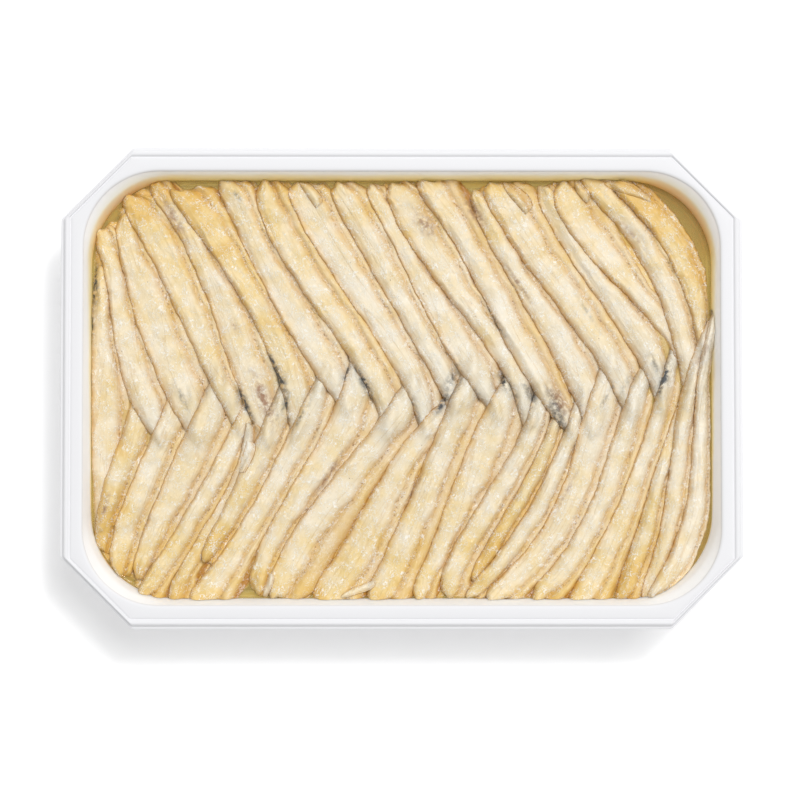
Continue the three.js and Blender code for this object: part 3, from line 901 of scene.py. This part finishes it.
def anchovy_material():
    """Marinated anchovy flesh: ivory, warmer in oil, with lengthwise fibres under a wet film."""
    material, tree, shader = new_material("marinated anchovy flesh", {
        "Roughness": 0.42, "IOR": 1.4, "Coat Weight": 1.0, "Coat Roughness": 0.12, "Coat IOR": 1.45})
    share = {name: add_node(tree, "ShaderNodeAttribute", attribute_name=name).outputs["Fac"]
             for name in ("warmth", "flank_oil_and_shade", "gold", "crease", "low", "seam", "skin", "blood")}
    fibre_map = add_node(tree, "ShaderNodeUVMap", uv_map="fibres").outputs["UV"]
    place = add_node(tree, "ShaderNodeTexCoord").outputs["Object"]

    # Patterns that run with the fibres, by how many there are in a millimetre across and along them:
    # fibres 0.4 mm apart and 5 mm long, wrinkles of a millimetre or two, long folds between the bundles
    # of muscle, 5 mm apart, and white squiggles, painted highlights where the wet skin's finest ridges
    # catch the light, drawn coarser than the real ones, about 0.4 mm wide and 2 mm long, so that they
    # show.
    for name, across, along, noise in (
            ("fibres", 2.6, 0.19, {"Detail": 4, "Roughness": 0.6}),
            ("wrinkles", 0.95, 0.62, {"Detail": 3, "Roughness": 0.55, "Distortion": 1.4}),
            ("folds", 0.19, 0.012, {"Detail": 1, "Roughness": 0.4, "Distortion": 0.2}),
            ("squiggles", 0.76, 0.56, {"Detail": 0, "Roughness": 0.5, "Distortion": 1.4})):
        stretched = add_node(tree, "ShaderNodeMapping", {
            "Vector": fibre_map, "Scale": (across / MM, along / MM, 1)})
        share[name] = add_node(tree, "ShaderNodeTexNoise", {
            "Vector": stretched.outputs[0], "Scale": 1, **noise}).outputs["Fac"]

    # Folds and squiggles are the lines along which their noise passes its middle value.
    for name, half_width in (("folds", 0.012), ("squiggles", 0.075)):
        off = add_node(tree, "ShaderNodeMath", {0: share[name], 1: 0.5}, operation="SUBTRACT")
        away = add_node(tree, "ShaderNodeMath", {0: off.outputs[0]}, operation="ABSOLUTE")
        share[name] = add_node(tree, "ShaderNodeMapRange", {
            "Value": away.outputs[0], "From Min": half_width, "From Max": 0.3 * half_width}).outputs[0]

    # Patterns that lie over all the fillets alike, by how many there are in a millimetre: warm patches
    # 9 mm wide, painted glints in places 3 mm wide, rags of skin and blood 2 mm wide, and dots 1 mm apart.
    for name, scale, detail, roughness in (
            ("patches", 0.11, 3, 0.5), ("glints", 0.33, 2, 0.5),
            ("rags", 0.48, 4, 0.65), ("dots", 1, 2, 0.5)):
        share[name] = add_node(tree, "ShaderNodeTexNoise", {
            "Vector": place, "Scale": scale / MM, "Detail": detail, "Roughness": roughness}).outputs["Fac"]

    # How each pattern shows, from one of its values to another. Squiggles show less off the lobe.
    for name, pattern, start, end, at_start, at_end in (
            ("lightness", "fibres", 0.3, 0.7, 0.96, 1.02), ("crease dots", "dots", 0.54, 0.62, 0, 1),
            ("few dots", "dots", 0.73, 0.78, 0, 1), ("glints", "glints", 0.4, 0.55, 0, 1),
            ("off gold", "gold", 0.15, 0.6, 1, 0.35), ("rags", "rags", 0.36, 0.6, 0, 1)):
        share[name] = add_node(tree, "ShaderNodeMapRange", {
            "Value": share[pattern], "From Min": start, "From Max": end,
            "To Min": at_start, "To Max": at_end}).outputs[0]

    # What shows only where two of them do.
    for name, first, second in (
            ("brown dots", "crease", "crease dots"), ("glinting", "off gold", "glints"),
            ("painted highlight squiggles", "squiggles", "glinting"), ("bloody rags", "blood", "rags"),
            ("dark rags", "skin", "rags")):
        share[name] = add_node(tree, "ShaderNodeMath", {0: share[first], 1: share[second]},
                               operation="MULTIPLY").outputs[0]

    warm = add_node(tree, "ShaderNodeMath", {0: share["patches"], 1: 1.1, 2: -0.45},
                    operation="MULTIPLY_ADD")
    warmer = add_node(tree, "ShaderNodeMath", {0: share["warmth"], 1: warm.outputs[0]}, operation="ADD")
    flesh = add_node(tree, "ShaderNodeValToRGB", {0: warmer.outputs[0]}, stops=[
        (0.1, "#f4ecda"), (0.45, "#f0e0bf"), (0.8, "#eace8c"), (1.0, "#e2bb66")])
    colour = add_node(tree, "ShaderNodeVectorMath", {
        0: flesh.outputs["Color"], 3: share["lightness"]}, operation="SCALE").outputs[0]

    # Colours over the flesh, one after another: bluish tips that meet along the middle, folds golden
    # with oil, painted shade golden as with oil down the lobe's flanks, the thin part golden partly with
    # the oil it lies deeper in and partly as painted shade, brown dots where blood and skin stay in the
    # crease and a few elsewhere, painted brown-gold contact shade, partly oil, where the flesh is
    # thinnest, white squiggles of painted highlight, brown-pink blood and blue-black skin.
    for name, strength, hex_code in (
            ("seam", 0.5, "#e0e1d9"), ("folds", 0.3, "#d5b277"), ("flank_oil_and_shade", 0.95, "#d89f34"),
            ("gold", 0.75, "#e3bb5c"), ("brown dots", 0.75, "#85582b"), ("few dots", 0.7, "#7d5f40"),
            ("low", 0.85, "#ab700e"), ("painted highlight squiggles", 0.7, "#fffdf6"),
            ("bloody rags", 1.1, "#a17b5c"), ("dark rags", 1.4, "#3f4347")):
        part = add_node(tree, "ShaderNodeMath", {0: share[name], 1: strength}, operation="MULTIPLY",
                        use_clamp=True)
        colour = add_node(tree, "ShaderNodeMix", {
            0: part.outputs[0], 6: colour, 7: linear_colour(hex_code)}, data_type="RGBA").outputs[2]
    tree.links.new(colour, shader.inputs["Base Color"])

    # The relief of the flesh, and a stronger one on the wet film over it.
    relief = share["fibres"]
    for name, height in (("wrinkles", 1.2), ("folds", -0.3), ("painted highlight squiggles", 0.5)):
        relief = add_node(tree, "ShaderNodeMath", {0: share[name], 1: height, 2: relief},
                          operation="MULTIPLY_ADD").outputs[0]
    for normal, strength in (("Normal", 0.6), ("Coat Normal", 0.9)):
        bump = add_node(tree, "ShaderNodeBump", {
            "Height": relief, "Strength": strength, "Distance": 0.4 * MM})
        tree.links.new(bump.outputs["Normal"], shader.inputs[normal])
    return material


def oil_material():
    """Olive oil: golden brown where deep, clear and yellow where shallow, mirror smooth."""
    material, tree, shader = new_material("golden olive oil", {"Roughness": 0.04, "IOR": 1.47})
    depth = add_node(tree, "ShaderNodeAttribute", attribute_name="depth")
    colour = add_node(tree, "ShaderNodeValToRGB", {0: depth.outputs["Fac"]}, stops=[
        (0, "#f0d37c"), (0.3, "#efc036"), (0.8, "#e2ab08")])
    clarity = add_node(tree, "ShaderNodeMapRange", {
        "Value": depth.outputs["Fac"], "From Min": 0, "From Max": 0.5, "To Min": 0.35, "To Max": 1})
    tree.links.new(colour.outputs["Color"], shader.inputs["Base Color"])
    tree.links.new(clarity.outputs[0], shader.inputs["Alpha"])
    return material


def core_material():
    """Fish below the oil, seen only down the narrowest gaps."""
    material, tree, shader = new_material("anchovy flesh under oil", {"Roughness": 0.3})
    place = add_node(tree, "ShaderNodeTexCoord").outputs["Object"]
    # Blotches about 5 mm wide.
    blotches = add_node(tree, "ShaderNodeTexNoise", {"Vector": place, "Scale": 0.2 / MM, "Detail": 3})
    colour = add_node(tree, "ShaderNodeValToRGB", {0: blotches.outputs["Fac"]}, stops=[
        (0.3, "#b98537"), (0.7, "#d2a355")])
    tree.links.new(colour.outputs["Color"], shader.inputs["Base Color"])
    return material


def board_material():
    """Matt white board that glows a little, so that its white is as full as in the photo."""
    return new_material("matt white board", {
        "Base Color": linear_colour("#fbfbfb"), "Roughness": 0.9,
        "Emission Color": linear_colour("#ffffff"), "Emission Strength": 0.195})[0]


def build_camera():
    """Looks down from above, a little from the side of the tray's lower edge."""
    data = bpy.data.cameras.new("camera")
    camera = add_object("camera", data)
    # In pixels: the picture's width, and how far the tray stands from its middle.
    picture_width, off_x, off_y = 800, -2, -12.5
    frame_width = picture_width * 0.38 * MM
    distance = 1.3
    aim = Vector((0, 0, RIM_TOP))
    lean_x, lean_y = -10 * MM, -60 * MM
    camera.location = aim + Vector((lean_x, lean_y, distance))
    camera.rotation_euler = (math.atan2(-lean_y, distance), math.atan2(lean_x, distance), 0)
    data.lens = data.sensor_width * distance / frame_width
    data.shift_x = off_x / picture_width
    data.shift_y = off_y / picture_width
    data.clip_end = 10
    bpy.context.scene.camera = camera


def build_light(name, towards, distance, size, power):
    """A soft square light that faces the tray."""
    data = bpy.data.lights.new(name, "AREA")
    data.shape = "SQUARE"
    data.size = size
    data.energy = power
    light = add_object(name, data)
    light.location = Vector(towards).normalized() * distance
    light.rotation_euler = (-light.location).to_track_quat("-Z", "Y").to_euler()


def build_studio():
    """A white board, a little light from all round and two soft lights from the upper right."""
    scene = bpy.context.scene
    scene.view_settings.view_transform = "Standard"
    world = bpy.data.worlds.new("studio")
    world.use_nodes = True
    world.node_tree.nodes["Background"].inputs["Color"].default_value = (1, 1, 1, 1)
    world.node_tree.nodes["Background"].inputs["Strength"].default_value = 0.48
    scene.world = world
    build_light("large_softbox", (0.46, 0.6, 1.6), distance=6, size=3.4, power=184)
    build_light("small_softbox", (0.3, 0.45, 1.25), distance=5, size=0.73, power=51)
    shape = bmesh.new()
    bmesh.ops.create_grid(shape, x_segments=1, y_segments=1, size=3)
    mesh = finished_mesh(shape, "board")
    mesh.materials.append(board_material())
    board = add_object("board", mesh)


def build_tray_and_contents():
    """The tray, the core, the laid fillets and the oil round them."""
    new_piece("moulded_tray", tray_mesh(), polypropylene_material(), ["tray"])
    bed = Bed()
    under, upper, lower, scraps = lay_all(bed)
    coarse, fine = fillet_blank(COARSE_BLANK), fillet_blank(FINE_BLANK)
    flesh = anchovy_material()
    groups = {
        "under_fillets_upper": (under[:len(UPPER_ROW) - 1], coarse),
        "under_fillets_lower": (under[len(UPPER_ROW) - 1:], coarse),
        "torn_scraps": (scraps, coarse),
        "upper_fillets_left": (upper[:UPPER_SPLIT], fine),
        "upper_fillets_right": (upper[UPPER_SPLIT:], fine),
        "lower_fillets_left": (lower[:LOWER_SPLIT], fine),
        "lower_fillets_right": (lower[LOWER_SPLIT:], fine),
    }
    for name, (laid, blank) in groups.items():
        replaced = ["anchovy_fillets"] if name == "upper_fillets_left" else []
        new_piece(name, fillets_mesh(name, laid, blank), flesh, replaced)
    bpy.data.meshes.remove(coarse[0])
    bpy.data.meshes.remove(fine[0])
    new_piece("heap_core", heap_core_mesh(), core_material())
    new_piece("golden_oil", oil_mesh(bed), oil_material(), ["marinade_oil"])


build_camera()
build_studio()
build_tray_and_contents()
